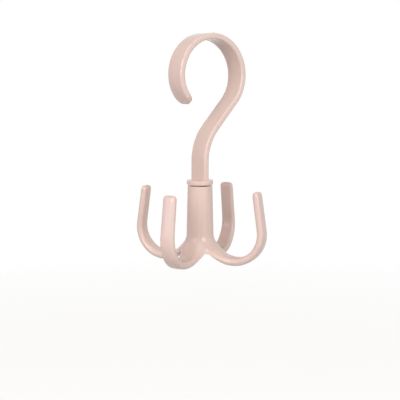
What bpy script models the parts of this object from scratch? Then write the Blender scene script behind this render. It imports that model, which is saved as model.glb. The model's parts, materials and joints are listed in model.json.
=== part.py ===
"""Rotating closet hook: a moulded question-mark hook that carries a swivelling claw with four arms.

Lengths are in metres and +Z points up. The origin is the seat of the closet rod, at the top of the
inside of the hook's loop. The rod runs along Y, and the hook is bent in the XZ plane. The claw turns
about a vertical axis under the hook, held by a washer and a screw that are driven in through its tube.
"""

import math

import bmesh
import bpy
import numpy as np
from mathutils import Vector

# Fits that several pieces share
SEAT_GAP = 0.0003
TURNING_GAP = 0.0003
COLLAR_GAP = 0.0007
SEAT_FLATTENING = 0.00004

# Band of the top hook, from its foot up
BAND_WIDTH = 0.0158
BAND_TIP_WIDTH = 0.0148
BAND_THICKNESS = 0.0042
BAND_EDGE_RADIUS = 0.0012
STEM_HEIGHT = 0.0131
STEM_BEND_RADIUS = 0.0344
STEM_BEND_ANGLE = math.radians(43)
SHANK_LENGTH = 0.0246
LOOP_RADIUS = 0.0266
NOSE_RADIUS = 0.0227
NOSE_ANGLE = math.radians(37.4)
TONGUE_CORNER_RADIUS = 0.0068

# Foot of the top hook: collar and swivel post
COLLAR_RADIUS = 0.0092
COLLAR_HEIGHT = 0.0032
COLLAR_EDGE_RADIUS = 0.0005
POST_RADIUS = 0.0048
POST_CHAMFER = 0.0004

# Tube of the claw
TUBE_TOP_RADIUS = 0.0086
TUBE_FOOT_RADIUS = 0.0095
TUBE_LENGTH = 0.0335
TUBE_EDGE_RADIUS = 0.0005
BEARING_LENGTH = 0.0075
BORE_TOP_RADIUS = 0.0064
BORE_MOUTH_RADIUS = 0.0068
BORE_DEPTH = 0.0458

# Arms of the claw, measured from the tube's axis and its top face
ARM_COUNT = 4
ARM_WIDTH = 0.0122
ARM_THICKNESS = 0.0055
ARM_TIP_WIDTH = 0.0092
ARM_TIP_THICKNESS = 0.0047
ARM_REACH = 0.0274
ARM_DROP = 0.0517
ARM_INNER_BEND_RADIUS = 0.0320
ARM_OUTER_BEND_RADIUS = 0.0201
ARM_LEAN = math.radians(8.4)
ARM_RISE = 0.0245
ARM_ROOT_REACH = 0.0205
ARM_ROOT_WIDENING = 0.0022
ARM_WIDENING_REACH = 0.0265
CROTCH_RADIUS = 0.0142
CROTCH_DEPTH = 0.0462
REST_TURN = math.radians(25.25)

# Washer and screw
WASHER_RADIUS = 0.0060
WASHER_THICKNESS = 0.0010
WASHER_CHAMFER = 0.0001
SCREW_RADIUS = 0.0019
SCREW_LENGTH = 0.0100
SCREW_POINT_LENGTH = 0.0016
SCREW_END_RADIUS = 0.0005
SCREW_HEAD_RADIUS = 0.0039
SCREW_HEAD_HEIGHT = 0.0026
SCREW_HEAD_RIM = 0.0010
PILOT_END_GAP = 0.0006

# Fineness of the round shapes, as counts and angles
BEND_STEP = math.radians(5.5)
TURN_STEPS = 40
CORNER_STEPS = 3
EDGE_STEPS = 3
FACE_STEPS = 2
CAP_STEPS = 4
CAP_END_ANGLE = math.radians(78)
RISE_STEPS = 6
BELL_ROWS = 7
SOLE_ROWS = 4
ROOT_ROWS = 3
SMOOTH_ANGLE = math.radians(35)

# Heights of the seats, below the collar's top face
TUBE_TOP = COLLAR_HEIGHT + COLLAR_GAP
BEARING_END = TUBE_TOP + BEARING_LENGTH
WASHER_TOP = BEARING_END + TURNING_GAP
POST_END = WASHER_TOP - SEAT_GAP
HEAD_SEAT = WASHER_TOP + WASHER_THICKNESS + SEAT_GAP
PILOT_RADIUS = SCREW_RADIUS + SEAT_GAP
BEARING_RADIUS = POST_RADIUS + TURNING_GAP
SECTION_STEPS = 2 * EDGE_STEPS + FACE_STEPS


class Route:
    """A centreline in a vertical plane, kept as stations of (across, height, heading)."""

    def __init__(self, across, height, heading):
        self.stations = [(across, height, heading)]

    def straight(self, length, steps=1):
        across, height, heading = self.stations[-1]
        for step in range(1, steps + 1):
            run = length * step / steps
            ahead = (run * math.cos(heading), run * math.sin(heading))
            self.stations.append((across + ahead[0], height + ahead[1], heading))

    def bend(self, radius, angle, steps=0):
        """An arc that turns left where the angle is positive and right where it is negative."""
        across, height, heading = self.stations[-1]
        side = math.copysign(math.pi / 2, angle)
        centre = (across + radius * math.cos(heading + side), height + radius * math.sin(heading + side))
        steps = steps or max(1, math.ceil(abs(angle) / BEND_STEP))
        for step in range(1, steps + 1):
            turned = heading + angle * step / steps
            out = turned - side
            place = (centre[0] + radius * math.cos(out), centre[1] + radius * math.sin(out))
            self.stations.append((place[0], place[1], turned))


def facet_angle(radius):
    """Half the angle of a facet that lies one seat flattening inside a curve of this radius."""
    return math.acos(1 - SEAT_FLATTENING / radius)


def rounded_end(width, thickness, corner):
    """Sizes of the sections that close a bar: how far ahead each lies, its width and its thickness."""
    half = thickness / 2
    sections = []
    for step in range(1, CAP_STEPS + 1):
        angle = CAP_END_ANGLE * step / CAP_STEPS
        inside = max(0, half - corner * (1 - math.sin(angle)))
        sections.append((
            corner * math.sin(angle),
            width - 2 * corner * (1 - math.cos(angle)),
            2 * math.sqrt(half * half - inside * inside),
        ))
    return sections


def band_section(width, thickness):
    """A rectangle with rounded corners, as points (along the width, along the thickness)."""
    radius = min(BAND_EDGE_RADIUS, thickness / 2)
    corner = (width / 2 - radius, thickness / 2 - radius)
    points = []
    for quarter, (across, up) in enumerate(((1, 1), (-1, 1), (-1, -1), (1, -1))):
        for step in range(CORNER_STEPS + 1):
            angle = math.pi / 2 * (quarter + step / CORNER_STEPS)
            points.append((across * corner[0] + radius * math.cos(angle),
                           up * corner[1] + radius * math.sin(angle)))
    return points


def arm_section(width, thickness):
    """A flat bar with round edges, from its left edge over the top to the right edge and back below."""
    radius = thickness / 2
    flat = width / 2 - radius
    top = []
    for step in range(EDGE_STEPS + 1):
        angle = math.pi / 2 * step / EDGE_STEPS
        top.append((flat + radius * math.cos(angle), radius * math.sin(angle)))
    for step in range(1, FACE_STEPS):
        top.append((flat - 2 * flat * step / FACE_STEPS, radius))
    for step in range(EDGE_STEPS + 1):
        angle = math.pi / 2 * (1 + step / EDGE_STEPS)
        top.append((radius * math.cos(angle) - flat, radius * math.sin(angle)))
    return top + [(-across, -up) for across, up in top[1:-1]]


def placed_section(section, station, outward, sideways, ahead=0.0):
    """Stands a section on a station of a route that runs in the plane of outward and +Z."""
    across, height, heading = station
    along = math.cos(heading) * outward + math.sin(heading) * Vector((0, 0, 1))
    upward = math.cos(heading) * Vector((0, 0, 1)) - math.sin(heading) * outward
    centre = across * outward + height * Vector((0, 0, 1)) + ahead * along
    return [centre + side * sideways + up * upward for side, up in section]


def plastic(name, colour, roughness):
    material = bpy.data.materials.new(name)
    material.use_nodes = True
    shader = material.node_tree.nodes["Principled BSDF"]
    shader.inputs["Base Color"].default_value = (*colour, 1)
    shader.inputs["Roughness"].default_value = roughness
    shader.inputs["Metallic"].default_value = 0
    return material


def steel(name, colour, roughness):
    material = plastic(name, colour, roughness)
    material.node_tree.nodes["Principled BSDF"].inputs["Metallic"].default_value = 1
    return material


def make_object(name, points, faces, material):
    """Turns named points and faces into a smooth-shaded object whose faces point outwards."""
    shell = bmesh.new()
    corners = {key: shell.verts.new(place) for key, place in points.items()}
    for face in faces:
        shell.faces.new([corners[key] for key in face])
    bmesh.ops.recalc_face_normals(shell, faces=shell.faces)
    mesh = bpy.data.meshes.new(name)
    shell.to_mesh(mesh)
    shell.free()
    mesh.shade_smooth()
    mesh.set_sharp_from_angle(angle=SMOOTH_ANGLE)
    if material:
        mesh.materials.append(material)
    thing = bpy.data.objects.new(name, mesh)
    bpy.context.scene.collection.objects.link(thing)
    return thing


def ring_faces(first, second):
    """Quads between two closed rings of names."""
    count = len(first)
    return [(first[i], first[(i + 1) % count], second[(i + 1) % count], second[i]) for i in range(count)]


def turned_object(name, profile, material, closed=False):
    """Turns a profile of (radius, height) about Z. It ends on the axis, or closes on itself."""
    points = {}
    rings = []
    for row, (radius, height) in enumerate(profile):
        if radius == 0:
            points[row] = Vector((0, 0, height))
            rings.append([row])
            continue
        rings.append([(row, step) for step in range(TURN_STEPS)])
        for step in range(TURN_STEPS):
            angle = 2 * math.pi * step / TURN_STEPS
            points[row, step] = Vector((radius * math.cos(angle), radius * math.sin(angle), height))
    faces = []
    pairs = list(zip(rings, rings[1:]))
    if closed:
        pairs.append((rings[-1], rings[0]))
    for first, second in pairs:
        if len(first) == 1 or len(second) == 1:
            pole, ring = (first[0], second) if len(first) == 1 else (second[0], first)
            faces += [(pole, ring[i], ring[(i + 1) % TURN_STEPS]) for i in range(TURN_STEPS)]
        else:
            faces += ring_faces(first, second)
    return make_object(name, points, faces, material)


def quarter_round(centre, radius, start, steps=CORNER_STEPS):
    """Points of a rounded corner of a profile, turning right from the start angle."""
    points = []
    for step in range(steps + 1):
        angle = start - math.pi / 2 * step / steps
        points.append((centre[0] + radius * math.cos(angle), centre[1] + radius * math.sin(angle)))
    return points


# Top hook: the band's route from the foot to the tongue

def hook_route():
    """The band's centreline from the foot's zero, the number of its rod seat and the loop's centre."""
    seat = facet_angle(LOOP_RADIUS - BAND_THICKNESS / 2)
    route = Route(0, -COLLAR_HEIGHT / 2, math.pi / 2)
    route.straight(COLLAR_HEIGHT / 2 + STEM_HEIGHT)
    route.bend(STEM_BEND_RADIUS, -STEM_BEND_ANGLE)
    route.straight(SHANK_LENGTH)
    across, height, heading = route.stations[-1]
    left = heading + math.pi / 2
    centre = (across + LOOP_RADIUS * math.cos(left), height + LOOP_RADIUS * math.sin(left))
    route.bend(LOOP_RADIUS, math.pi - seat - heading)
    route.bend(LOOP_RADIUS, 2 * seat, steps=1)
    crown = len(route.stations) - 1
    route.bend(LOOP_RADIUS, math.pi / 2 - seat)
    route.bend(NOSE_RADIUS, NOSE_ANGLE)
    return route.stations, crown, centre


def make_band(stations, crown):
    """The question-mark band, full to its crown, narrower to its nose, and closed by a round tongue."""
    outward, sideways = Vector((1, 0, 0)), Vector((0, 1, 0))
    rings = []
    for number, station in enumerate(stations):
        narrowed = max(0, number - crown) / (len(stations) - 1 - crown)
        section = band_section(BAND_WIDTH + (BAND_TIP_WIDTH - BAND_WIDTH) * narrowed, BAND_THICKNESS)
        rings.append(placed_section(section, station, outward, sideways))
    for ahead, width, thickness in rounded_end(BAND_TIP_WIDTH, BAND_THICKNESS, TONGUE_CORNER_RADIUS):
        section = band_section(width, thickness)
        rings.append(placed_section(section, stations[-1], outward, sideways, ahead))
    points = {(row, i): place for row, ring in enumerate(rings) for i, place in enumerate(ring)}
    names = [[(row, i) for i in range(len(section))] for row in range(len(rings))]
    faces = [names[0], names[-1]]
    for first, second in zip(names, names[1:]):
        faces += ring_faces(first, second)
    return make_object("top_hook", points, faces, BEIGE)


def make_foot():
    """Collar and swivel post in one, with the blind pilot hole for the screw."""
    pilot_end = -HEAD_SEAT + SCREW_LENGTH + PILOT_END_GAP
    edge = COLLAR_EDGE_RADIUS
    profile = [(0, 0)]
    profile += quarter_round((COLLAR_RADIUS - edge, -edge), edge, math.pi / 2)
    profile += quarter_round((COLLAR_RADIUS - edge, edge - COLLAR_HEIGHT), edge, 0)
    profile += [
        (POST_RADIUS, -COLLAR_HEIGHT),
        (POST_RADIUS, POST_CHAMFER - POST_END),
        (POST_RADIUS - POST_CHAMFER, -POST_END),
        (PILOT_RADIUS, -POST_END),
        (PILOT_RADIUS, pilot_end),
        (0, pilot_end),
    ]
    foot = turned_object("hook_foot_guide", profile, None)
    foot.hide_render = True
    foot.display_type = "WIRE"
    return foot


def make_top_hook(stations, crown, axis):
    band = make_band(stations, crown)
    foot = make_foot()
    for thing in (band, foot):
        thing.location = axis
    union = band.modifiers.new("foot", "BOOLEAN")
    union.operation = "UNION"
    union.solver = "EXACT"
    union.object = foot
    return band


# Claw: one skin that runs from the tube through a bell into four arms

def column_angle(column):
    """The angle of a column of the tube. Each arm owns the columns of one equal sector."""
    sector = 2 * math.pi / ARM_COUNT
    return sector * (column / SECTION_STEPS - 1 / 2)


def ring_names(row):
    return [(row, column) for column in range(ARM_COUNT * SECTION_STEPS)]


def add_ring(points, row, radius, height):
    """A round ring of the tube or its bore."""
    for name in ring_names(row):
        angle = column_angle(name[1])
        points[name] = Vector((radius * math.cos(angle), radius * math.sin(angle), height))
    return ring_names(row)


def arm_route():
    """An arm's centreline from where it leaves the bell, through its seat, to its tip."""
    slope = math.asin((ARM_REACH - ARM_ROOT_REACH) / ARM_INNER_BEND_RADIUS)
    start = ARM_INNER_BEND_RADIUS * (1 - math.cos(slope)) - ARM_DROP
    inner_facet = facet_angle(ARM_INNER_BEND_RADIUS - ARM_THICKNESS / 2)
    outer_facet = facet_angle(ARM_OUTER_BEND_RADIUS - ARM_THICKNESS / 2)
    route = Route(ARM_ROOT_REACH, start, -slope)
    route.bend(ARM_INNER_BEND_RADIUS, slope - inner_facet)
    bottom = len(route.stations) - 1
    across = ARM_REACH + ARM_OUTER_BEND_RADIUS * math.sin(outer_facet)
    height = ARM_OUTER_BEND_RADIUS * (1 - math.cos(outer_facet)) - ARM_DROP
    route.stations.append((across, height, outer_facet))
    route.bend(ARM_OUTER_BEND_RADIUS, math.pi / 2 + ARM_LEAN - outer_facet)
    route.straight(ARM_RISE, RISE_STEPS)
    return route.stations, bottom


def arm_rings(direction):
    """Sections of one arm, full to its seat and slimmer from there to its rounded tip."""
    outward = Vector((math.cos(direction), math.sin(direction), 0))
    sideways = Vector((-math.sin(direction), math.cos(direction), 0))
    stations, bottom = arm_route()
    steps = len(stations) - 2 - bottom
    rings = []
    for number, station in enumerate(stations):
        slimmed = max(0, number - 1 - bottom) / steps
        widened = max(0, ARM_WIDENING_REACH - station[0]) / (ARM_WIDENING_REACH - ARM_ROOT_REACH)
        width = ARM_WIDTH + (ARM_TIP_WIDTH - ARM_WIDTH) * slimmed + ARM_ROOT_WIDENING * widened ** 2
        thickness = ARM_THICKNESS + (ARM_TIP_THICKNESS - ARM_THICKNESS) * slimmed
        rings.append(placed_section(arm_section(width, thickness), station, outward, sideways))
    for ahead, width, thickness in rounded_end(ARM_TIP_WIDTH, ARM_TIP_THICKNESS, ARM_TIP_THICKNESS / 2):
        section = arm_section(width, thickness)
        rings.append(placed_section(section, stations[-1], outward, sideways, ahead))
    return rings


def settle(points, faces, held):
    """Moves the points that aren't held so that the skin through them bends as evenly as it can."""
    near = {name: set() for name in points}
    for face in faces:
        for first, second in zip(face, face[1:] + face[:1]):
            near[first].add(second)
            near[second].add(first)
    free = [name for name in points if name not in held]
    beside = {other for name in free for other in near[name]}
    beyond = {other for name in beside for other in near[name]}
    fixed = [name for name in points if name in held and name in beside | beyond]
    order = {name: number for number, name in enumerate(free + fixed)}
    pull = np.eye(len(order))
    for name in order:
        for other in near[name] & order.keys():
            pull[order[name], order[other]] -= 1 / len(near[name])
    bending = pull[:len(free)] @ pull
    places = np.array([points[name] for name in fixed])
    settled = np.linalg.solve(bending[:, :len(free)], -bending[:, len(free):] @ places)
    for name, place in zip(free, settled):
        points[name] = Vector(place)


def make_claw():
    points = {}
    row_gap = (CROTCH_DEPTH - TUBE_LENGTH) / BELL_ROWS
    edge = TUBE_EDGE_RADIUS
    profile = [
        (BORE_MOUTH_RADIUS, -BORE_DEPTH),
        (BORE_MOUTH_RADIUS, row_gap - BORE_DEPTH),
        (BORE_TOP_RADIUS, -BEARING_LENGTH),
        (BEARING_RADIUS, -BEARING_LENGTH),
        (BEARING_RADIUS, 0),
    ]
    profile += quarter_round((TUBE_TOP_RADIUS - edge, -edge), edge, math.pi / 2)
    profile += [(TUBE_FOOT_RADIUS, row_gap - TUBE_LENGTH), (TUBE_FOOT_RADIUS, -TUBE_LENGTH)]
    tube = [add_ring(points, ("tube", row), *place) for row, place in enumerate(profile)]
    held = set(points)

    # Bell: rings from the tube's foot down to the crotches between the arms
    bell = [tube[-1]]
    for row in range(1, BELL_ROWS + 1):
        bell.append(add_ring(points, ("bell", row), CROTCH_RADIUS, -CROTCH_DEPTH))
    crotches = bell[-1][::SECTION_STEPS]
    held.update(crotches)

    # Sole: rings from the crotches in to the bore's mouth
    sole = [tube[0]]
    for row in range(1, SOLE_ROWS + 1):
        sole.append(add_ring(points, ("sole", row), BORE_MOUTH_RADIUS, -BORE_DEPTH))
    for column, crotch in enumerate(crotches):
        del points[sole[-1][column * SECTION_STEPS]]
        sole[-1][column * SECTION_STEPS] = crotch

    faces = []
    for rings in (tube, bell, sole):
        for first, second in zip(rings, rings[1:]):
            faces += ring_faces(first, second)

    # Arms: each starts from the part of the bell above it and of the sole below it
    for arm in range(ARM_COUNT):
        first = arm * SECTION_STEPS
        columns = [(first + step) % (ARM_COUNT * SECTION_STEPS) for step in range(SECTION_STEPS + 1)]
        above = [bell[-1][column] for column in reversed(columns)]
        below = [sole[-1][column] for column in columns[1:-1]]
        rings = [above + below]
        own = arm_rings(2 * math.pi * arm / ARM_COUNT)
        for row in range(1, ROOT_ROWS):
            names = [("root", arm, row, i) for i in range(2 * SECTION_STEPS)]
            points.update({name: own[0][i].copy() for i, name in enumerate(names)})
            rings.append(names)
        for row, ring in enumerate(own):
            names = [("arm", arm, row, i) for i in range(2 * SECTION_STEPS)]
            points.update(zip(names, ring))
            held.update(names)
            rings.append(names)
        for one, other in zip(rings, rings[1:]):
            faces += ring_faces(one, other)
        tip = rings[-1]
        for i in range(SECTION_STEPS):
            corners = [tip[i], tip[i + 1], tip[-i - 1], tip[-i]]
            faces.append(tuple(dict.fromkeys(corners)))

    settle(points, faces, held)
    return make_object("claw", points, faces, BEIGE)


# Fasteners inside the tube

def make_washer():
    inner = SCREW_RADIUS + SEAT_GAP
    cut = WASHER_CHAMFER
    outer = WASHER_RADIUS
    bottom = -WASHER_THICKNESS
    profile = [
        (inner, 0), (outer - cut, 0), (outer, -cut),
        (outer, bottom + cut), (outer - cut, bottom), (inner, bottom),
    ]
    return turned_object("retaining_washer", profile, ZINC, closed=True)


def make_screw():
    """Pan-headed screw, drawn with its head seat at zero and its point upwards."""
    dome = SCREW_HEAD_HEIGHT - SCREW_HEAD_RIM
    profile = [
        (0, SCREW_LENGTH),
        (SCREW_END_RADIUS, SCREW_LENGTH),
        (SCREW_RADIUS, SCREW_LENGTH - SCREW_POINT_LENGTH),
        (SCREW_RADIUS, 0),
        (SCREW_HEAD_RADIUS, 0),
        (SCREW_HEAD_RADIUS, -SCREW_HEAD_RIM),
    ]
    for step in range(1, CAP_STEPS):
        angle = math.pi / 2 * step / CAP_STEPS
        profile.append((SCREW_HEAD_RADIUS * math.cos(angle), -SCREW_HEAD_RIM - dome * math.sin(angle)))
    profile.append((0, -SCREW_HEAD_HEIGHT))
    return turned_object("retaining_screw", profile, ZINC)


for old in list(bpy.data.objects):
    bpy.data.objects.remove(old)

BEIGE = plastic("beige_plastic", (0.72, 0.53, 0.46), 0.32)
ZINC = steel("zinc_plated_steel", (0.66, 0.67, 0.68), 0.30)

# The rod seat, inside the top of the loop, is the origin
hook_stations, hook_crown, loop_centre = hook_route()
seat_radius = LOOP_RADIUS - BAND_THICKNESS / 2 - SEAT_FLATTENING
swivel = Vector((-loop_centre[0], 0, -loop_centre[1] - seat_radius))

top_hook = make_top_hook(hook_stations, hook_crown, swivel)

claw = make_claw()
claw.location = swivel - Vector((0, 0, TUBE_TOP))
claw.rotation_euler.z = REST_TURN

washer = make_washer()
washer.location = swivel - Vector((0, 0, WASHER_TOP))

screw = make_screw()
screw.location = swivel - Vector((0, 0, HEAD_SEAT))

bpy.context.view_layer.update()
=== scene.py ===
"""Rotating closet hook in pale moulded plastic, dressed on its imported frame.

Lengths are in metres and +Z points up. The origin is where the inside of the loop rests on the
closet rod, which would run along Y.
"""

import json
import math

import bmesh
import bpy
import numpy as np
from mathutils import Matrix, Vector


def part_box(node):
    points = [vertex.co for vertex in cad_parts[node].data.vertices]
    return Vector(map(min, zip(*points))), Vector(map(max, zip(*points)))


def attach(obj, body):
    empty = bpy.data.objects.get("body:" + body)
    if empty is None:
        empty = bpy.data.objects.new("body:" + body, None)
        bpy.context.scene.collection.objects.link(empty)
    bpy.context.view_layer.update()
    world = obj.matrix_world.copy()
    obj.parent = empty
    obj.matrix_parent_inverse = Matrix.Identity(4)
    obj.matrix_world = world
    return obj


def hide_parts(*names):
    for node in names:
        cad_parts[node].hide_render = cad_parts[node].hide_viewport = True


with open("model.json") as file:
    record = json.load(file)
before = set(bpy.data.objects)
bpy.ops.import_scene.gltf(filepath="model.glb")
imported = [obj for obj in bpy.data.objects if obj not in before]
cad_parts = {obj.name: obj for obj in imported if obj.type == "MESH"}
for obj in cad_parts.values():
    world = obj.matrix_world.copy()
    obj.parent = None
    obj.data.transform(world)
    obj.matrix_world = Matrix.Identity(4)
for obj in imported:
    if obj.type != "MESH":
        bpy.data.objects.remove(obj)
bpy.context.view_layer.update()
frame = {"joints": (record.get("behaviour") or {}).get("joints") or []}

swivel = Vector(frame["joints"][0]["pos_m"])


# Top hook. One moulding of glossy pink-beige plastic: a flat band bent like a question mark, a round
# collar at its foot, and under the collar a post that the claw turns on. The band hangs on the rod.

band_width = 0.0158
band_tip_width = 0.0148
band_thickness = 0.0042
band_edge_radius = 0.0012
stem_height = 0.01305
stem_bend_radius = 0.0344
stem_bend_angle = math.radians(43)
shank_length = 0.0246
loop_radius = 0.0266
nose_radius = 0.0220
nose_angle = math.radians(38.4)
tongue_corner_radius = 0.0073
tongue_edge_radius = 0.0030
tongue_end_angle = math.radians(88)
tongue_steps = 32
band_step = 0.0005
band_edge_steps = 6

collar_radius = 0.0092
collar_height = 0.0032
collar_edge_radius = 0.0005
collar_gap = 0.0007
collar_top = swivel.z + collar_gap + collar_height
post_radius = 0.0048
post_end = 0.0114
post_chamfer = 0.0004
pilot_radius = 0.0022
pilot_end = 0.0024
turn_steps = 128
corner_steps = 6
sharp_angle = math.radians(40)

plastic_ior = 1.49
plastic_specular = 0.5
cloud_scale = 38
cloud_detail = 3
cool_cloud = (0.32, (0.762, 0.560, 0.487, 1))
warm_cloud = (0.68, (0.788, 0.586, 0.513, 1))
flow_stretch = (1, 1, 0.22)
flow_scale = 260
flow_detail = 4
flow_mark = (0.35, (0.975, 0.972, 0.970, 1))
flow_clear = (0.62, (1, 1, 1, 1))
gloss_scale = 90
gloss_detail = 2
gloss_low = 0.11
gloss_high = 0.18
wave_scale = 140
wave_detail = 1
wave_height = 0.00004
grain_scale = 2600
grain_detail = 2
grain_height = 0.000002
plastic_bump = 0.5


class Route:
    """A centreline in a vertical plane, kept as stations of (across, height, heading)."""

    def __init__(self, across, height, heading, step):
        self.stations = [(across, height, heading)]
        self.step = step

    def straight(self, length):
        across, height, heading = self.stations[-1]
        steps = max(1, round(length / self.step))
        for number in range(1, steps + 1):
            run = length * number / steps
            place = (across + run * math.cos(heading), height + run * math.sin(heading))
            self.stations.append((*place, heading))

    def bend(self, radius, angle):
        """An arc that turns left where the angle is positive and right where it is negative."""
        across, height, heading = self.stations[-1]
        side = math.copysign(math.pi / 2, angle)
        centre = (across + radius * math.cos(heading + side), height + radius * math.sin(heading + side))
        steps = max(1, round(abs(angle) * radius / self.step))
        for number in range(1, steps + 1):
            turned = heading + angle * number / steps
            ahead = radius * math.cos(turned - side)
            rise = radius * math.sin(turned - side)
            self.stations.append((centre[0] + ahead, centre[1] + rise, turned))


def band_line():
    """The band's centreline as a string of edges. Each point keeps its share of the full section."""
    route = Route(0, collar_top - collar_height / 2, math.pi / 2, band_step)
    route.straight(collar_height / 2 + stem_height)
    route.bend(stem_bend_radius, -stem_bend_angle)
    route.straight(shank_length)
    heading = route.stations[-1][2]
    route.bend(loop_radius, math.pi - heading)
    crown = len(route.stations)
    route.bend(loop_radius, math.pi / 2)
    route.bend(nose_radius, nose_angle)
    nose = len(route.stations)
    across, height, heading = route.stations[-1]
    points = []
    widths = []
    thicknesses = []
    for number, station in enumerate(route.stations):
        narrowed = max(0, number - crown) / (nose - crown)
        points.append((swivel.x + station[0], swivel.y, station[1]))
        widths.append(1 + (band_tip_width / band_width - 1) * narrowed)
        thicknesses.append(1)
    # The tongue: round as seen from the loop's side, and rounded over its thickness
    for number in range(1, tongue_steps + 1):
        angle = tongue_end_angle * number / tongue_steps
        ahead = tongue_corner_radius * math.sin(angle)
        inside = max(0, 1 - (tongue_corner_radius - ahead) / tongue_edge_radius)
        points.append((
            swivel.x + across + ahead * math.cos(heading),
            swivel.y,
            height + ahead * math.sin(heading),
        ))
        widths.append((band_tip_width - 2 * tongue_corner_radius * (1 - math.cos(angle))) / band_width)
        thicknesses.append(math.sqrt(1 - inside * inside))
    line = bpy.data.meshes.new("band_line")
    line.from_pydata(points, [(i, i + 1) for i in range(len(points) - 1)], [])
    line.attributes.new("width_share", "FLOAT", "POINT").data.foreach_set("value", widths)
    line.attributes.new("thickness_share", "FLOAT", "POINT").data.foreach_set("value", thicknesses)
    return line


def socket_of(tree, name, kind, value=None):
    """Adds a named input to a node tree and gives back its identifier."""
    socket = tree.interface.new_socket(name, in_out="INPUT", socket_type=kind)
    if value is not None:
        socket.default_value = value
    return socket.identifier


def end_tree(tree, geometry, material):
    """Ends a node tree: instances made real, shaded smooth, and the material set."""
    tree.interface.new_socket("Geometry", in_out="OUTPUT", socket_type="NodeSocketGeometry")
    real = tree.nodes.new("GeometryNodeRealizeInstances")
    smooth = tree.nodes.new("GeometryNodeSetShadeSmooth")
    coat = tree.nodes.new("GeometryNodeSetMaterial")
    out = tree.nodes.new("NodeGroupOutput")
    tree.links.new(geometry, real.inputs["Geometry"])
    tree.links.new(real.outputs["Geometry"], smooth.inputs["Geometry"])
    tree.links.new(smooth.outputs["Geometry"], coat.inputs["Geometry"])
    tree.links.new(material, coat.inputs["Material"])
    tree.links.new(coat.outputs["Geometry"], out.inputs[0])


def band_tree():
    """Sweeps a rounded flat section along the band's centreline, scaled by the shares of its points."""
    tree = bpy.data.node_groups.new("sweep_band", "GeometryNodeTree")
    names = {
        "Geometry": socket_of(tree, "Geometry", "NodeSocketGeometry"),
        "Width": socket_of(tree, "Width", "NodeSocketFloat", band_width),
        "Thickness": socket_of(tree, "Thickness", "NodeSocketFloat", band_thickness),
        "Edge Radius": socket_of(tree, "Edge Radius", "NodeSocketFloat", band_edge_radius),
        "Edge Steps": socket_of(tree, "Edge Steps", "NodeSocketInt", band_edge_steps),
        "Material": socket_of(tree, "Material", "NodeSocketMaterial"),
    }
    link = tree.links.new
    given = tree.nodes.new("NodeGroupInput")
    curve = tree.nodes.new("GeometryNodeMeshToCurve")
    normal = tree.nodes.new("GeometryNodeSetCurveNormal")
    normal.mode = "FREE"
    normal.inputs["Normal"].default_value = (0, 1, 0)
    keep = tree.nodes.new("GeometryNodeCaptureAttribute")
    keep.capture_items.new("VECTOR", "Centre")
    place = tree.nodes.new("GeometryNodeInputPosition")
    outline = tree.nodes.new("GeometryNodeCurvePrimitiveQuadrilateral")
    fillet = tree.nodes.new("GeometryNodeFilletCurve")
    fillet.mode = "POLY"
    sweep = tree.nodes.new("GeometryNodeCurveToMesh")
    sweep.inputs["Fill Caps"].default_value = True
    link(given.outputs["Geometry"], curve.inputs["Mesh"])
    link(curve.outputs["Curve"], normal.inputs["Curve"])
    link(normal.outputs["Curve"], keep.inputs["Geometry"])
    link(place.outputs["Position"], keep.inputs["Centre"])
    link(given.outputs["Width"], outline.inputs["Width"])
    link(given.outputs["Thickness"], outline.inputs["Height"])
    link(outline.outputs["Curve"], fillet.inputs["Curve"])
    link(given.outputs["Edge Radius"], fillet.inputs["Radius"])
    link(given.outputs["Edge Steps"], fillet.inputs["Count"])
    link(keep.outputs["Geometry"], sweep.inputs["Curve"])
    link(fillet.outputs["Curve"], sweep.inputs["Profile Curve"])

    # Each point keeps its centre and moves towards it by the shares of width (Y) and thickness (X, Z)
    away = tree.nodes.new("ShaderNodeVectorMath")
    away.operation = "SUBTRACT"
    shares = tree.nodes.new("ShaderNodeCombineXYZ")
    scaled = tree.nodes.new("ShaderNodeVectorMath")
    scaled.operation = "MULTIPLY"
    back = tree.nodes.new("ShaderNodeVectorMath")
    back.operation = "ADD"
    settle_points = tree.nodes.new("GeometryNodeSetPosition")
    for name, axes in (("width_share", "Y"), ("thickness_share", "XZ")):
        share = tree.nodes.new("GeometryNodeInputNamedAttribute")
        share.data_type = "FLOAT"
        share.inputs["Name"].default_value = name
        for axis in axes:
            link(share.outputs["Attribute"], shares.inputs[axis])
    link(place.outputs["Position"], away.inputs[0])
    link(keep.outputs["Centre"], away.inputs[1])
    link(away.outputs["Vector"], scaled.inputs[0])
    link(shares.outputs["Vector"], scaled.inputs[1])
    link(scaled.outputs["Vector"], back.inputs[0])
    link(keep.outputs["Centre"], back.inputs[1])
    link(sweep.outputs["Mesh"], settle_points.inputs["Geometry"])
    link(back.outputs["Vector"], settle_points.inputs["Position"])
    end_tree(tree, settle_points.outputs["Geometry"], given.outputs["Material"])
    return tree, names


def run_tree(name, start, tree, names, values):
    """Runs a node tree on a start mesh and gives back the result as a plain object."""
    thing = bpy.data.objects.new(name, start)
    bpy.context.scene.collection.objects.link(thing)
    modifier = thing.modifiers.new("shape", "NODES")
    modifier.node_group = tree
    for key, value in values.items():
        modifier[names[key]] = value
    graph = bpy.context.evaluated_depsgraph_get()
    made = bpy.data.meshes.new_from_object(thing.evaluated_get(graph))
    thing.modifiers.clear()
    thing.data = made
    for attribute in ("width_share", "thickness_share", "Centre"):
        if attribute in made.attributes:
            made.attributes.remove(made.attributes[attribute])
    return thing


def on_circle(radius, angle, height):
    """A place on a level circle around the Z axis."""
    return Vector((radius * math.cos(angle), radius * math.sin(angle), height))


def on_axis(height):
    """A place on the axis that the claw turns on."""
    return Vector((swivel.x, swivel.y, height))


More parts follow.
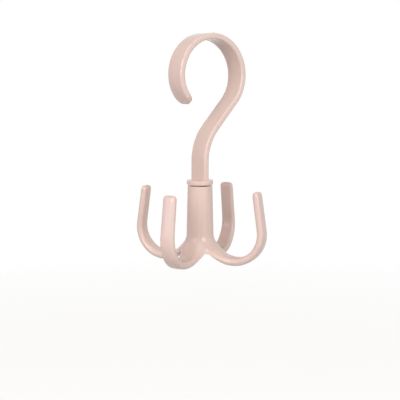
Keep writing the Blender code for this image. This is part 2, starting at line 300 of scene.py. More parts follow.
def turned_mesh(name, profile, centre, closed=False):
    """Turns a profile of (radius, height) about a vertical axis.

    The profile ends on the axis, or closes on itself.
    """
    shell = bmesh.new()
    rings = []
    for radius, height in profile:
        if radius == 0:
            rings.append([shell.verts.new(centre + Vector((0, 0, height)))])
            continue
        ring = []
        for step in range(turn_steps):
            angle = 2 * math.pi * step / turn_steps
            ring.append(shell.verts.new(centre + on_circle(radius, angle, height)))
        rings.append(ring)
    pairs = list(zip(rings, rings[1:]))
    if closed:
        pairs.append((rings[-1], rings[0]))
    for one, other in pairs:
        for i in range(turn_steps):
            j = (i + 1) % turn_steps
            corners = [one[i % len(one)], one[j % len(one)], other[j % len(other)], other[i % len(other)]]
            shell.faces.new(list(dict.fromkeys(corners)))
    bmesh.ops.recalc_face_normals(shell, faces=shell.faces)
    mesh = bpy.data.meshes.new(name)
    shell.to_mesh(mesh)
    shell.free()
    return mesh


def rounded_corner(centre, radius, start):
    """Points of a rounded corner of a profile, turning right from the start angle."""
    points = []
    for step in range(corner_steps + 1):
        angle = start - math.pi / 2 * step / corner_steps
        points.append((centre[0] + radius * math.cos(angle), centre[1] + radius * math.sin(angle)))
    return points


def new_object(name, mesh, material):
    mesh.materials.append(material)
    thing = bpy.data.objects.new(name, mesh)
    bpy.context.scene.collection.objects.link(thing)
    return thing


def smooth_by_angle(mesh, angle):
    mesh.shade_smooth()
    mesh.set_sharp_from_angle(angle=angle)


def join_solids(target, other, operation="UNION"):
    """Unites two closed solids into one skin, or cuts one from the other, and removes the second."""
    boolean = target.modifiers.new("boolean", "BOOLEAN")
    boolean.operation = operation
    boolean.solver = "EXACT"
    boolean.object = other
    graph = bpy.context.evaluated_depsgraph_get()
    joined = bpy.data.meshes.new_from_object(target.evaluated_get(graph))
    target.modifiers.clear()
    target.data = joined
    bpy.data.objects.remove(other)


def placed_material(name, shift):
    """Starts a material, with the place in the object's own space that its textures read."""
    material = bpy.data.materials.new(name)
    material.use_nodes = True
    tree = material.node_tree
    given = tree.nodes.new("ShaderNodeTexCoord")
    place = tree.nodes.new("ShaderNodeMapping")
    place.inputs["Location"].default_value = shift
    tree.links.new(given.outputs["Object"], place.inputs["Vector"])
    return material, place.outputs["Vector"]


def noise(tree, place, scale, detail):
    texture = tree.nodes.new("ShaderNodeTexNoise")
    texture.inputs["Scale"].default_value = scale
    texture.inputs["Detail"].default_value = detail
    tree.links.new(place, texture.inputs["Vector"])
    return texture.outputs["Fac"]


def two_tone(tree, pattern, low, high):
    """Colours a pattern between two stops, each given as (position, colour)."""
    ramp = tree.nodes.new("ShaderNodeValToRGB")
    for stop, (position, colour) in zip(ramp.color_ramp.elements, (low, high)):
        stop.position = position
        stop.color = colour
    tree.links.new(pattern, ramp.inputs["Fac"])
    return ramp.outputs["Color"]


def uneven_gloss(tree, pattern, low, high):
    """Lets a pattern move the shader's roughness between two values."""
    gloss = tree.nodes.new("ShaderNodeMapRange")
    gloss.inputs["To Min"].default_value = low
    gloss.inputs["To Max"].default_value = high
    tree.links.new(pattern, gloss.inputs["Value"])
    tree.links.new(gloss.outputs["Result"], tree.nodes["Principled BSDF"].inputs["Roughness"])


def layered_bumps(tree, *layers):
    """Lays bumps over each other, the first lowest, each given as (pattern, height, strength)."""
    normal = None
    for pattern, height, strength in layers:
        bump = tree.nodes.new("ShaderNodeBump")
        bump.inputs["Distance"].default_value = height
        bump.inputs["Strength"].default_value = strength
        tree.links.new(pattern, bump.inputs["Height"])
        if normal is not None:
            tree.links.new(normal, bump.inputs["Normal"])
        normal = bump.outputs["Normal"]
    tree.links.new(normal, tree.nodes["Principled BSDF"].inputs["Normal"])


def moulded_plastic(name, seed):
    """Glossy pink-beige plastic with faint flow clouds, a fine grain and a slightly uneven gloss."""
    material, place = placed_material(name, (seed, -seed, seed / 2))
    tree = material.node_tree
    shader = tree.nodes["Principled BSDF"]
    shader.inputs["IOR"].default_value = plastic_ior
    shader.inputs["Specular IOR Level"].default_value = plastic_specular

    # Colour: soft clouds of a slightly warmer and a slightly cooler tone, with faint long flow marks
    stretch = tree.nodes.new("ShaderNodeMapping")
    stretch.inputs["Scale"].default_value = flow_stretch
    tree.links.new(place, stretch.inputs["Vector"])
    drawn = stretch.outputs["Vector"]
    clouds = two_tone(tree, noise(tree, drawn, cloud_scale, cloud_detail), cool_cloud, warm_cloud)
    flow = two_tone(tree, noise(tree, drawn, flow_scale, flow_detail), flow_mark, flow_clear)
    tint = tree.nodes.new("ShaderNodeMix")
    tint.data_type = "RGBA"
    tint.blend_type = "MULTIPLY"
    tint.inputs["Factor"].default_value = 1
    tree.links.new(clouds, tint.inputs["A"])
    tree.links.new(flow, tint.inputs["B"])
    tree.links.new(tint.outputs["Result"], shader.inputs["Base Color"])

    # Gloss: uneven in broad patches. Surface: a slow waviness of the moulding, then its fine grain
    uneven_gloss(tree, noise(tree, place, gloss_scale, gloss_detail), gloss_low, gloss_high)
    wave = noise(tree, place, wave_scale, wave_detail)
    grain = noise(tree, place, grain_scale, grain_detail)
    layered_bumps(tree, (wave, wave_height, plastic_bump), (grain, grain_height, plastic_bump))
    return material


hook_plastic = moulded_plastic("hook_moulded_plastic", seed=0.013)
band_nodes, band_inputs = band_tree()
band_values = {"Material": hook_plastic}
top_hook = run_tree("hook_moulding", band_line(), band_nodes, band_inputs, band_values)

collar_flat = collar_radius - collar_edge_radius
foot_profile = [(0, 0)]
foot_profile += rounded_corner((collar_flat, -collar_edge_radius), collar_edge_radius, math.pi / 2)
foot_profile += rounded_corner((collar_flat, collar_edge_radius - collar_height), collar_edge_radius, 0)
foot_profile += [
    (post_radius, -collar_height),
    (post_radius, post_chamfer - post_end),
    (post_radius - post_chamfer, -post_end),
    (pilot_radius, -post_end),
    (pilot_radius, -pilot_end),
    (0, -pilot_end),
]
collar_centre = on_axis(collar_top)
foot = new_object("hook_foot", turned_mesh("hook_foot", foot_profile, collar_centre), hook_plastic)
join_solids(top_hook, foot)
smooth_by_angle(top_hook.data, sharp_angle)
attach(top_hook, "hook")
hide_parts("top_hook")


# Claw. The second moulding, of the same plastic: a tapered tube, bored from below for the post, the
# washer and the screw, that flares into four upturned arms in one seamless skin. Its values and points
# are counted from the middle of its top face, where it turns.

crease_angle = math.radians(40)
tube_top_radius = 0.00875
tube_foot_radius = 0.0096
tube_length = 0.0346
tube_edge_radius = 0.0005
bearing_length = 0.0075
bearing_radius = 0.0051
bore_top_radius = 0.0064
bore_mouth_radius = 0.0068
bore_depth = 0.0461
crotch_radius = 0.0140
crotch_depth = 0.0450
arm_count = 4
arm_width = 0.0122
arm_thickness = 0.0055
arm_crown = 0.00018
arm_tip_width = 0.0092
arm_tip_thickness = 0.0047
tip_swelling = 2.0
tip_swelling_start = 0.75
edge_fullness = 1.047
arm_reach = 0.0274
arm_drop = 0.05152
arm_inner_bend_radius = 0.0320
arm_outer_bend_radius = 0.0200
arm_lean = math.radians(8.4)
arm_rise = 0.0238
arm_root_reach = 0.0225
arm_root_widening = 0.0010
arm_widening_reach = 0.0265
rest_turn = math.radians(25.25)
edge_steps = 3
face_steps = 2
section_steps = 2 * edge_steps + face_steps
bell_rows = 7
bell_row_gap = (crotch_depth - tube_length) / bell_rows
flare_rows = 3
flare_power = 1.7
sole_rows = 4
root_rows = 4
root_narrowing = 0.75
root_fall = 0.58
rise_steps = 6
cap_steps = 4
cap_length = 0.0031
cap_squareness = 3
cap_end_angle = math.radians(78)
arm_bend_step = math.radians(5.5)
skin_level = 2


def column_angle(column):
    """The direction of a column of the cage. Each arm owns the columns of one equal sector."""
    return 2 * math.pi / arm_count * (column / section_steps - 1 / 2)


def add_ring(points, row, radius, height):
    """A round ring of the tube, its bore, the bell or the sole."""
    ring = []
    for column in range(arm_count * section_steps):
        points[row, column] = on_circle(radius, column_angle(column), height)
        ring.append((row, column))
    return ring


def arm_section(width, thickness):
    """A flat bar with round edges and crowned faces, as points of (side, up) in one closed round.

    The edges stand proud by their fullness, which the smoothing of the skin takes back.
    """
    radius = thickness / 2
    flat = width / 2 - radius
    edge = []
    for step in range(edge_steps + 1):
        angle = math.pi / 2 * step / edge_steps
        side = flat + edge_fullness * radius * math.cos(angle)
        edge.append((side, min(1, edge_fullness * math.sin(angle)) * radius))
    top = list(edge)
    for step in range(1, face_steps):
        top.append((flat - 2 * flat * step / face_steps, radius + arm_crown))
    top += [(-across, up) for across, up in reversed(edge)]
    return top + [(-across, -up) for across, up in top[1:-1]]


def arm_sections():
    """One arm's sections from the bell to the rounded tip, each with its station and its run ahead."""
    slope = math.asin((arm_reach - arm_root_reach) / arm_inner_bend_radius)
    start = arm_inner_bend_radius * (1 - math.cos(slope)) - arm_drop
    route = Route(arm_root_reach, start, -slope, arm_bend_step * arm_inner_bend_radius)
    route.bend(arm_inner_bend_radius, slope)
    bottom = len(route.stations) - 1
    route.step = arm_bend_step * arm_outer_bend_radius
    route.bend(arm_outer_bend_radius, math.pi / 2 + arm_lean)
    route.step = arm_rise / rise_steps
    route.straight(arm_rise)
    sections = []
    for number, station in enumerate(route.stations):
        share = max(0, number - bottom) / (len(route.stations) - 1 - bottom)
        slimmed = share - tip_swelling * max(0, share - tip_swelling_start) ** 2
        widened = max(0, arm_widening_reach - station[0]) / (arm_widening_reach - arm_root_reach)
        width = arm_width + (arm_tip_width - arm_width) * slimmed + arm_root_widening * widened ** 2
        thickness = arm_thickness + (arm_tip_thickness - arm_thickness) * slimmed
        sections.append((arm_section(width, thickness), station, 0))
    for step in range(1, cap_steps + 1):
        angle = cap_end_angle * step / cap_steps
        narrowed = width * (1 - math.sin(angle) ** cap_squareness) ** (1 / cap_squareness)
        section = arm_section(narrowed, thickness * math.cos(angle))
        sections.append((section, route.stations[-1], cap_length * math.sin(angle)))
    return sections


def arm_rings(direction):
    """The arm's sections stood on its route, in the plane of its direction and +Z."""
    outward = Vector((math.cos(direction), math.sin(direction), 0))
    sideways = Vector((-math.sin(direction), math.cos(direction), 0))
    vertical = Vector((0, 0, 1))
    rings = []
    for section, (across, height, heading), ahead in arm_sections():
        along = math.cos(heading) * outward + math.sin(heading) * vertical
        upward = math.cos(heading) * vertical - math.sin(heading) * outward
        centre = across * outward + height * vertical + ahead * along
        rings.append([centre + side * sideways + up * upward for side, up in section])
    return rings


def between(rings):
    """Quads between each closed ring of point names and the next one."""
    faces = []
    for one, other in zip(rings, rings[1:]):
        for i in range(len(one)):
            j = (i + 1) % len(one)
            faces.append((one[i], one[j], other[j], other[i]))
    return faces


def settle(points, faces, held):
    """Moves the points that aren't held so that the skin through them bends as evenly as it can."""
    near = {name: {} for name in points}
    for face in faces:
        for first, second in zip(face, face[1:] + face[:1]):
            near[first][second] = near[second][first] = True

    def pulls(name):
        return [(name, 1)] + [(other, -1 / len(near[name])) for other in near[name]]

    free = [name for name in points if name not in held]
    reached = {}
    for name in free:
        for beside in near[name]:
            reached.update(near[beside])
            reached[beside] = True
    fixed = [name for name in reached if name in held]
    order = {name: number for number, name in enumerate(free + fixed)}
    bending = np.zeros((len(free), len(order)))
    for name in free:
        for beside, pull in pulls(name):
            for beyond, further in pulls(beside):
                bending[order[name], order[beyond]] += pull * further
    places = np.array([points[name] for name in fixed])
    settled = np.linalg.solve(bending[:, :len(free)], -bending[:, len(free):] @ places)
    for name, place in zip(free, settled):
        points[name] = Vector(place)


def tube_rings(points):
    """Rings from the bore's mouth up through the bearing hole, over the top and down the tube."""
    tube_corner = (tube_top_radius - tube_edge_radius, -tube_edge_radius)
    profile = [
        (bore_mouth_radius, -bore_depth),
        (bore_mouth_radius, bell_row_gap - bore_depth),
        (bore_top_radius, -bearing_length),
        (bearing_radius, -bearing_length),
        (bearing_radius, 0),
    ]
    profile += rounded_corner(tube_corner, tube_edge_radius, math.pi / 2)
    profile += [(tube_foot_radius, bell_row_gap - tube_length), (tube_foot_radius, -tube_length)]
    return [add_ring(points, ("tube", row), *place) for row, place in enumerate(profile)]


def bell_rings(points, held, foot):
    """Rings from the tube's foot down to the crotches. Above each crotch the flare starts slowly."""
    bell = [foot]
    for row in range(1, bell_rows + 1):
        bell.append(add_ring(points, ("bell", row), crotch_radius, -crotch_depth))
    held.update(bell[-1][::section_steps])
    for row in range(1, flare_rows + 1):
        share = row / bell_rows
        radius = tube_foot_radius + (crotch_radius - tube_foot_radius) * share ** flare_power
        height = -tube_length - row * bell_row_gap
        for column in range(0, arm_count * section_steps, section_steps):
            points[bell[row][column]] = on_circle(radius, column_angle(column), height)
            held.add(bell[row][column])
    return bell


def sole_rings(points, mouth, crotches):
    """Rings from the bore's mouth out to the crotches. The last ring shares the crotches' points."""
    sole = [mouth]
    for row in range(1, sole_rows + 1):
        sole.append(add_ring(points, ("sole", row), bore_mouth_radius, -bore_depth))
    for number, crotch in enumerate(crotches):
        del points[sole[-1][number * section_steps]]
        sole[-1][number * section_steps] = crotch
    return sole


def root_edge(crotch, edge, opposite, share):
    """A point of an arm root's edge, which leaves the crotch faster than an even skin would."""
    across = crotch.lerp(edge, share)
    narrowed = crotch.lerp(edge, share ** root_narrowing)
    fallen = crotch.lerp(edge, share ** root_fall)
    outward = edge + opposite
    outward = Vector((outward.x, outward.y, 0)).normalized()
    sideways = narrowed - narrowed.dot(outward) * outward
    return across.dot(outward) * outward + Vector((sideways.x, sideways.y, fallen.z))


def arm_faces(points, held, arm, bell_rim, sole_rim):
    """One arm's quads, from the part of the bell above it and of the sole below it to its tip."""
    first = arm * section_steps
    columns = [(first + step) % (arm_count * section_steps) for step in range(section_steps + 1)]
    over = [bell_rim[column] for column in reversed(columns)]
    under = [sole_rim[column] for column in columns[1:-1]]
    rings = [over + under]
    own = arm_rings(2 * math.pi * arm / arm_count)
    for row in range(1, root_rows):
        names = [("root", arm, row, i) for i in range(2 * section_steps)]
        points.update({name: own[0][i].copy() for i, name in enumerate(names)})
        for i in (0, section_steps):
            crotch = points[rings[0][i]]
            opposite = own[0][section_steps - i]
            points[names[i]] = root_edge(crotch, own[0][i], opposite, row / root_rows)
            held.add(names[i])
        rings.append(names)
    for row, ring in enumerate(own):
        names = [("arm", arm, row, i) for i in range(2 * section_steps)]
        points.update(zip(names, ring))
        held.update(names)
        rings.append(names)
    faces = between(rings)
    tip = rings[-1]
    for i in range(section_steps):
        faces.append(tuple(dict.fromkeys([tip[i], tip[i + 1], tip[-i - 1], tip[-i]])))
    return faces


def cage_mesh(points, faces):
    """The cage as a mesh below the swivel, turned to its rest, with its sharp edges creased."""
    shell = bmesh.new()
    spin = Matrix.Translation(swivel) @ Matrix.Rotation(rest_turn, 4, "Z")
    corners = {name: shell.verts.new(spin @ place) for name, place in points.items()}
    for face in faces:
        shell.faces.new([corners[name] for name in face])
    bmesh.ops.recalc_face_normals(shell, faces=shell.faces)
    crease = shell.edges.layers.float.new("crease_edge")
    for edge in shell.edges:
        if edge.calc_face_angle(0) > crease_angle:
            edge[crease] = 1
    mesh = bpy.data.meshes.new("claw_cage")
    shell.to_mesh(mesh)
    shell.free()
    return mesh


def claw_cage():
    """The claw's tube, bell, sole and arms as one cage of quads, settled into a smooth flare."""
    points = {}
    tube = tube_rings(points)
    held = set(points)
    bell = bell_rings(points, held, tube[-1])
    sole = sole_rings(points, tube[0], bell[-1][::section_steps])
    faces = between(tube) + between(bell) + between(sole)
    for arm in range(arm_count):
        faces += arm_faces(points, held, arm, bell[-1], sole[-1])
    settle(points, faces, held)
    return cage_mesh(points, faces)


def draw_skin(thing, level):
    """Subdivides a cage into a smooth skin, leaving a plain mesh."""
    smooth = thing.modifiers.new("skin", "SUBSURF")
    smooth.levels = level
    smooth.render_levels = level
    graph = bpy.context.evaluated_depsgraph_get()
    skin = bpy.data.meshes.new_from_object(thing.evaluated_get(graph))
    thing.modifiers.clear()
    thing.data = skin


claw_plastic = moulded_plastic("claw_moulded_plastic", seed=0.047)
claw = new_object("claw_moulding", claw_cage(), claw_plastic)
draw_skin(claw, skin_level)
smooth_by_angle(claw.data, sharp_angle)
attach(claw, "claw")
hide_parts("claw")


# Retaining washer. A plain steel washer, punched from sheet and zinc plated. It lies under the claw's
# bearing web inside the bore, and the screw clamps it against the end of the hook's post.

washer_low, washer_high = (Vector(corner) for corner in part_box("retaining_washer"))
washer_radius = 0.0060
washer_hole_radius = 0.0022
washer_thickness = washer_high.z - washer_low.z
die_roll_radius = 0.00025
burr_radius = 0.00008

haze_scale = 420
haze_detail = 4
dull_zinc = (0.3, (0.52, 0.54, 0.57, 1))
bright_zinc = (0.7, (0.70, 0.71, 0.72, 1))
zinc_gloss_low = 0.24
zinc_gloss_high = 0.46
turning_scale = 700
turning_wander = 0.6
turning_height = 0.00002
turning_bump = 0.5
haze_height = 0.00001
haze_bump = 0.4


def zinc_plate(name, seed):
    """Bright zinc plate: a cool haze of uneven gloss over fine turning marks around the swivel."""
    material, place = placed_material(name, (-swivel.x, -swivel.y, seed))
    tree = material.node_tree
    shader = tree.nodes["Principled BSDF"]
    shader.inputs["Metallic"].default_value = 1
    haze = noise(tree, place, haze_scale, haze_detail)
    tree.links.new(two_tone(tree, haze, dull_zinc, bright_zinc), shader.inputs["Base Color"])
    uneven_gloss(tree, haze, zinc_gloss_low, zinc_gloss_high)

    turning = tree.nodes.new("ShaderNodeTexWave")
    turning.wave_type = "RINGS"
    turning.rings_direction = "Z"
    turning.inputs["Scale"].default_value = turning_scale
    turning.inputs["Distortion"].default_value = turning_wander
    tree.links.new(place, turning.inputs["Vector"])
    marks = turning.outputs["Fac"]
    layered_bumps(tree, (marks, turning_height, turning_bump), (haze, haze_height, haze_bump))
    return material


upper_corner = (washer_radius - die_roll_radius, -die_roll_radius)
lower_corner = (washer_radius - burr_radius, burr_radius - washer_thickness)
washer_profile = [(washer_hole_radius, -burr_radius), (washer_hole_radius + burr_radius, 0)]
washer_profile += rounded_corner(upper_corner, die_roll_radius, math.pi / 2)
washer_profile += rounded_corner(lower_corner, burr_radius, 0)
washer_profile += [
    (washer_hole_radius + die_roll_radius, -washer_thickness),
    (washer_hole_radius, die_roll_radius - washer_thickness),
]
washer_mesh = turned_mesh("washer", washer_profile, on_axis(washer_high.z), closed=True)
washer = new_object("punched_washer", washer_mesh, zinc_plate("washer_zinc", seed=0.021))
smooth_by_angle(washer.data, sharp_angle)
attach(washer, "hook")
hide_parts("retaining_washer")


# Retaining screw. A cold-headed steel screw, zinc plated, with a domed head, a cross recess and a coarse
# rolled thread that cuts into the post's pilot hole. Its head clamps the washer from below.

screw_low, screw_high = (Vector(corner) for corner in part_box("retaining_screw"))
head_radius = 0.0039
head_height = 0.0026
head_rim = 0.0010
head_edge_radius = 0.00025
head_seat = screw_low.z + head_height
dome_steps = 14
recess_reach = 0.0021
recess_floor_reach = 0.0009
recess_slot = 0.0006
recess_floor_slot = 0.0004
recess_depth = 0.0016
recess_mouth_spread = 1.06
recess_slot_spread = 1.05
thread_crest_radius = 0.0019
thread_core_radius = 0.0014
thread_pitch = 0.0013
thread_columns = 28
thread_rows = 120
thread_fade = 0.12
point_share = 0.16
point_radius = 0.0005
ridge_steepness = 2.2
ridge_foot = -1.2
end_share = 0.001
weld_distance = 0.000002
shank_root = 0.0006
screw_sharp_angle = math.radians(35)


def math_node(tree, operation, *values):
    """A calculation on outputs and plain values."""
    node = tree.nodes.new("ShaderNodeMath")
    node.operation = operation
    for socket, value in zip(node.inputs, values):
        if isinstance(value, bpy.types.NodeSocket):
            tree.links.new(value, socket)
        else:
            socket.default_value = value
    return node.outputs["Value"]


def thread_tree():
    """Rolls a grid into a closed shank: a core with a helical ridge that fades out at both ends."""
    tree = bpy.data.node_groups.new("roll_thread", "GeometryNodeTree")
    names = {
        "Length": socket_of(tree, "Length", "NodeSocketFloat"),
        "Core Radius": socket_of(tree, "Core Radius", "NodeSocketFloat", thread_core_radius),
        "Crest Radius": socket_of(tree, "Crest Radius", "NodeSocketFloat", thread_crest_radius),
        "Pitch": socket_of(tree, "Pitch", "NodeSocketFloat", thread_pitch),
        "Base": socket_of(tree, "Base", "NodeSocketVector"),
        "Columns": socket_of(tree, "Columns", "NodeSocketInt", thread_columns),
        "Rows": socket_of(tree, "Rows", "NodeSocketInt", thread_rows),
        "Material": socket_of(tree, "Material", "NodeSocketMaterial"),
    }
    link = tree.links.new
    given = tree.nodes.new("NodeGroupInput").outputs

    def worked(operation, *values):
        return math_node(tree, operation, *values)

    grid = tree.nodes.new("GeometryNodeMeshGrid")
    link(given["Columns"], grid.inputs["Vertices X"])
    link(given["Rows"], grid.inputs["Vertices Y"])
    place = tree.nodes.new("GeometryNodeInputPosition")
    parts = tree.nodes.new("ShaderNodeSeparateXYZ")
    link(place.outputs["Position"], parts.inputs["Vector"])
    around = worked("ADD", parts.outputs["X"], 0.5)
    along = worked("ADD", parts.outputs["Y"], 0.5)
    left = worked("SUBTRACT", 1, along)
    height = worked("MULTIPLY", along, given["Length"])
    angle = worked("MULTIPLY", around, 2 * math.pi)

    # The ridge stands where height and angle agree along a right-hand helix
    phase = worked("FRACT", worked("SUBTRACT", worked("DIVIDE", height, given["Pitch"]), around))
    rise = worked("SUBTRACT", 1, worked("ABSOLUTE", worked("MULTIPLY_ADD", phase, 2, -1)))
    ridge = worked("MAXIMUM", 0, worked("MULTIPLY_ADD", rise, ridge_steepness, ridge_foot))
    fade_in = worked("MINIMUM", 1, worked("DIVIDE", along, thread_fade))
    fade_out = worked("MINIMUM", 1, worked("DIVIDE", left, point_share))
    depth = worked("SUBTRACT", given["Crest Radius"], given["Core Radius"])
    proud = worked("MULTIPLY", worked("MULTIPLY", ridge, depth), worked("MULTIPLY", fade_in, fade_out))
    slim = worked("SUBTRACT", given["Core Radius"], point_radius)
    core = worked("MULTIPLY_ADD", fade_out, slim, point_radius)

    # The first row and the last one close on the axis
    past_first = worked("GREATER_THAN", along, end_share)
    before_last = worked("GREATER_THAN", left, end_share)
    open_row = worked("MULTIPLY", past_first, before_last)
    radius = worked("MULTIPLY", worked("ADD", core, proud), open_row)

    rolled = tree.nodes.new("ShaderNodeCombineXYZ")
    link(worked("MULTIPLY", radius, worked("COSINE", angle)), rolled.inputs["X"])
    link(worked("MULTIPLY", radius, worked("SINE", angle)), rolled.inputs["Y"])
    link(height, rolled.inputs["Z"])
    based = tree.nodes.new("ShaderNodeVectorMath")
    link(rolled.outputs["Vector"], based.inputs[0])
    link(given["Base"], based.inputs[1])
    roll = tree.nodes.new("GeometryNodeSetPosition")
    link(grid.outputs["Mesh"], roll.inputs["Geometry"])
    link(based.outputs["Vector"], roll.inputs["Position"])
    weld = tree.nodes.new("GeometryNodeMergeByDistance")
    weld.inputs["Distance"].default_value = weld_distance
    link(roll.outputs["Geometry"], weld.inputs["Geometry"])
    end_tree(tree, weld.outputs["Geometry"], given["Material"])
    return tree, names


def face_outwards(mesh):
    """Turns a closed mesh's faces outwards."""
    shell = bmesh.new()
    shell.from_mesh(mesh)
    bmesh.ops.recalc_face_normals(shell, faces=shell.faces)
    shell.to_mesh(mesh)
    shell.free()


def cross_plug():
    """The punch that presses the cross recess: a plus-shaped plug that narrows towards its tip."""
    rings = []
    for level, reach, slot in (
        (-recess_depth, recess_reach * recess_mouth_spread, recess_slot * recess_slot_spread),
        (recess_depth, recess_floor_reach, recess_floor_slot),
    ):
        centre = on_axis(screw_low.z + level)
        ring = []
        for quarter in range(4):
            spin = Matrix.Rotation(quarter * math.pi / 2, 3, "Z")
            for across, ahead in ((reach, -slot), (reach, slot), (slot, slot)):
                ring.append(spin @ Vector((across, ahead, 0)) + centre)
        rings.append(ring)
    count = len(rings[0])
    faces = [list(range(count)), list(range(count, 2 * count))]
    for i in range(count):
        j = (i + 1) % count
        faces.append([i, j, count + j, count + i])
    mesh = bpy.data.meshes.new("cross_plug")
    mesh.from_pydata(rings[0] + rings[1], [], faces)
    face_outwards(mesh)
    return mesh


screw_zinc = zinc_plate("screw_zinc", seed=0.034)
dome = head_height - head_rim
head_corner = (head_radius - head_edge_radius, -head_edge_radius)
head_profile = [(0, 0)]
head_profile += rounded_corner(head_corner, head_edge_radius, math.pi / 2)
for step in range(dome_steps):
    angle = math.pi / 2 * step / dome_steps
    head_profile.append((head_radius * math.cos(angle), -head_rim - dome * math.sin(angle)))
head_profile.append((0, -head_height))
head_mesh = turned_mesh("screw_head", head_profile, on_axis(head_seat))
screw = new_object("pan_screw", head_mesh, screw_zinc)
plug = new_object("cross_plug", cross_plug(), screw_zinc)
join_solids(screw, plug, "DIFFERENCE")
thread_nodes, thread_inputs = thread_tree()
shank_base = on_axis(head_seat - shank_root)
shank_values = {"Length": screw_high.z - shank_base.z, "Base": shank_base, "Material": screw_zinc}
shank_start = bpy.data.meshes.new("shank_start")
shank = run_tree("screw_shank", shank_start, thread_nodes, thread_inputs, shank_values)
face_outwards(shank.data)
join_solids(screw, shank)
smooth_by_angle(screw.data, screw_sharp_angle)
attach(screw, "hook")
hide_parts("retaining_screw")


# Studio. A plain white floor far below the hanging hook, a white surround and soft lamps.
# The camera stands where the photograph was taken, level with the loop and looking slightly down.

floor_level = -0.36
floor_reach = 3
floor_edge = 1.1
floor_clear = 0.45
floor_lift = 0.66
paper_tone = (0.45, 0.45, 0.45, 1)
paper_roughness = 0.9
white = (1, 1, 1, 1)
room_strength = 0.375
room_colour = (1.02, 0.94, 0.84, 1)
lamp_distance = 1.1


def seen_rays(tree):
    """One for rays from the camera and rays that show the room in gloss or glass, zero for light."""
    rays = tree.nodes.new("ShaderNodeLightPath")
    total = rays.outputs["Is Camera Ray"]
    for name in ("Is Glossy Ray", "Is Transmission Ray"):
        total = math_node(tree, "ADD", total, rays.outputs[name])
        total.node.use_clamp = True
    return total


def white_paper():
    """Plain paper that keeps the hook's shadow close to it and turns to even white further out."""
    material = bpy.data.materials.new("white_paper")
    material.use_nodes = True
    tree = material.node_tree
    link = tree.links.new
    paper = tree.nodes["Principled BSDF"]
    paper.inputs["Base Color"].default_value = paper_tone
    paper.inputs["Roughness"].default_value = paper_roughness
    paper.inputs["Emission Color"].default_value = white
    seen = seen_rays(tree)
    link(math_node(tree, "MULTIPLY", seen, floor_lift), paper.inputs["Emission Strength"])

    place = tree.nodes.new("ShaderNodeTexCoord")
    away = tree.nodes.new("ShaderNodeVectorMath")
    away.operation = "LENGTH"
    link(place.outputs["Object"], away.inputs[0])
    far = tree.nodes.new("ShaderNodeMapRange")
    far.inputs["From Min"].default_value = floor_clear
    far.inputs["From Max"].default_value = floor_edge
    link(away.outputs["Value"], far.inputs["Value"])
    even = tree.nodes.new("ShaderNodeEmission")
    even.inputs["Color"].default_value = white
    even.inputs["Strength"].default_value = 1
    mix = tree.nodes.new("ShaderNodeMixShader")
    link(math_node(tree, "MULTIPLY", seen, far.outputs["Result"]), mix.inputs["Fac"])
    link(paper.outputs["BSDF"], mix.inputs[1])
    link(even.outputs["Emission"], mix.inputs[2])
    link(mix.outputs["Shader"], tree.nodes["Material Output"].inputs["Surface"])
    return material


def white_room():
    """A surround that is seen as plain white and lights the hook with a soft warm light."""
    world = bpy.data.worlds.new("white_room")
    world.use_nodes = True
    tree = world.node_tree
    link = tree.links.new
    room = tree.nodes["Background"]
    room.inputs["Color"].default_value = room_colour
    room.inputs["Strength"].default_value = room_strength
    backdrop = tree.nodes.new("ShaderNodeBackground")
    backdrop.inputs["Color"].default_value = white
    backdrop.inputs["Strength"].default_value = 1
    mix = tree.nodes.new("ShaderNodeMixShader")
    link(seen_rays(tree), mix.inputs["Fac"])
    link(room.outputs["Background"], mix.inputs[1])
    link(backdrop.outputs["Background"], mix.inputs[2])
    link(mix.outputs["Shader"], tree.nodes["World Output"].inputs["Surface"])
    return world


floor_corners = [
    (-floor_reach, -floor_reach, floor_level),
    (floor_reach, -floor_reach, floor_level),
    (floor_reach, floor_reach, floor_level),
    (-floor_reach, floor_reach, floor_level),
]
floor_mesh = bpy.data.meshes.new("floor")
floor_mesh.from_pydata(floor_corners, [], [(0, 1, 2, 3)])
floor = new_object("floor", floor_mesh, white_paper())
bpy.context.scene.world = white_room()

view_turn = math.radians(-37.8)
view_drop = math.radians(7.77)


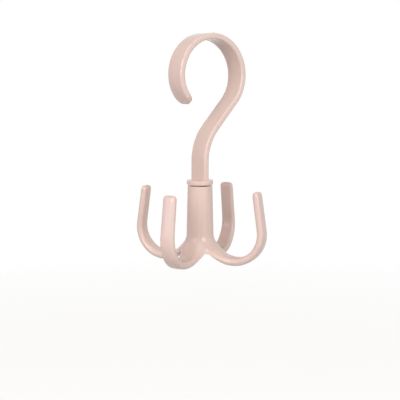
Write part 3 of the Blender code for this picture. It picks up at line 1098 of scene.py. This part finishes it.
def soft_lamp(name, azimuth, rise, size, power, colour):
    """A square lamp aimed at the swivel. Its azimuth is counted to the right from the camera's own."""
    light = bpy.data.lights.new(name, "AREA")
    light.size = size
    light.energy = power
    light.color = colour
    lamp = bpy.data.objects.new(name, light)
    spin = view_turn + math.radians(azimuth)
    height = math.radians(rise)
    level = math.cos(height)
    offset = Vector((math.sin(spin) * level, -math.cos(spin) * level, math.sin(height)))
    lamp.location = swivel + lamp_distance * offset
    lamp.rotation_euler = offset.to_track_quat("Z", "Y").to_euler()
    bpy.context.scene.collection.objects.link(lamp)


soft_lamp("left_lamp", azimuth=-30, rise=20, size=0.5, power=4.9, colour=(1.0, 1.0, 1.02))
soft_lamp("sheen_lamp", azimuth=-54, rise=9, size=0.4, power=0.7, colour=(0.85, 0.92, 1.4))
soft_lamp("right_lamp", azimuth=29, rise=15, size=0.45, power=3.3, colour=(0.92, 1.0, 1.10))
soft_lamp("top_lamp", azimuth=0, rise=60, size=0.6, power=1.7, colour=(1.0, 1.0, 1.0))
soft_lamp("side_lamp", azimuth=65, rise=10, size=1.2, power=2.8, colour=(0.95, 1.02, 1.05))

photo_px = 400
px_size = 0.0007
focal_px = 900
collar_px = (200.0, 179.9)
sensor_width = 36
nearest_seen = 0.01
camera = bpy.data.cameras.new("photo_camera")
camera.sensor_width = sensor_width
camera.lens = sensor_width * focal_px / photo_px
camera.clip_start = nearest_seen
turn = Matrix.Rotation(view_turn, 3, "Z")
camera_side = turn @ Vector((1, 0, 0))
camera_up = turn @ Vector((0, math.sin(view_drop), math.cos(view_drop)))
camera_ahead = turn @ Vector((0, math.cos(view_drop), -math.sin(view_drop)))
viewer = bpy.data.objects.new("photo_camera", camera)
viewer.location = collar_centre - focal_px * px_size * camera_ahead
viewer.location -= (collar_px[0] - photo_px / 2) * px_size * camera_side
viewer.location += (collar_px[1] - photo_px / 2) * px_size * camera_up
viewer.rotation_euler = (math.pi / 2 - view_drop, 0, view_turn)
bpy.context.scene.collection.objects.link(viewer)
bpy.context.scene.camera = viewer
bpy.context.scene.view_settings.view_transform = "Standard"
